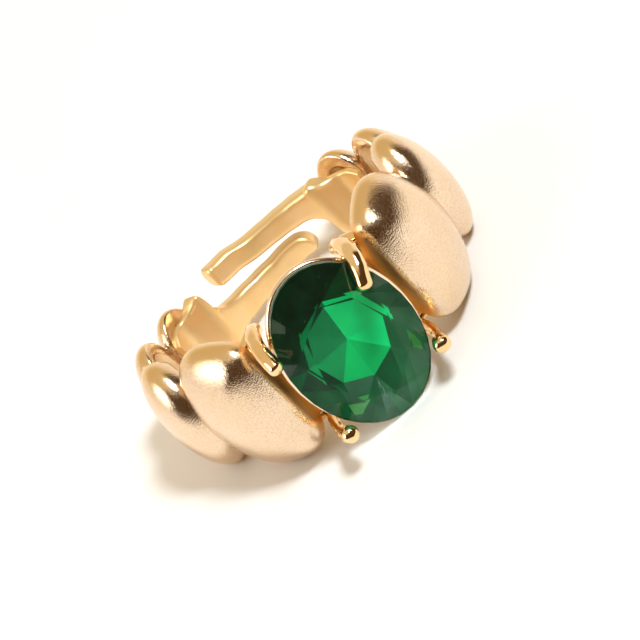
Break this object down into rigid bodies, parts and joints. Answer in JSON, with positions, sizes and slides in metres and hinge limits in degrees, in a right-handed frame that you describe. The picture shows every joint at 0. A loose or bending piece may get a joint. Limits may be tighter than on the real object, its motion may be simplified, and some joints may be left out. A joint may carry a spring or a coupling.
{
  "type": "cocktail ring",
  "caption": "Open finger ring with a faceted oval stone in a four-prong setting, hollow pebble-shaped sides and two free arms that pass each other at the back.",
  "frame": {"origin": "middle of the finger hole, half way along the finger", "axes": "+Z along the finger, -Y towards the stone, +X to the right of the stone seen from the front"},
  "size_m": [0.0278, 0.0237, 0.0142],
  "materials": {
    "satin_gold": "satin gold plate",
    "polished_gold": "polished gold plate",
    "green_stone": "polished facets"
  },
  "bodies": {
    "head": {"stone": "green_stone", "gallery_rail_upper": "polished_gold", "gallery_rail_lower": "polished_gold", "prong_upper_left": "polished_gold", "prong_upper_right": "polished_gold", "prong_lower_left": "polished_gold", "prong_lower_right": "polished_gold", "bridge": "polished_gold", "pebble_left_1": "satin_gold", "pebble_left_2": "satin_gold", "pebble_left_3": "satin_gold", "pebble_left_4": "satin_gold", "pebble_right_1": "satin_gold", "pebble_right_2": "satin_gold", "pebble_right_3": "satin_gold", "pebble_right_4": "satin_gold", "shoulder_left": "satin_gold", "shoulder_right": "satin_gold"},
    "left_arm": {"arm_left": "satin_gold"},
    "right_arm": {"arm_right": "satin_gold"}
  },
  "joints": [
    {"name": "left_arm_bend", "type": "hinge", "parent": "head", "child": "left_arm", "pos_m": [-0.00526, 0.00779, 0], "axis": [0, 0, 1], "range_deg": [-5, 20]},
    {"name": "right_arm_bend", "type": "hinge", "parent": "head", "child": "right_arm", "pos_m": [0.00526, 0.00779, 0], "axis": [0, 0, -1], "range_deg": [-5, 20]}
  ]
}
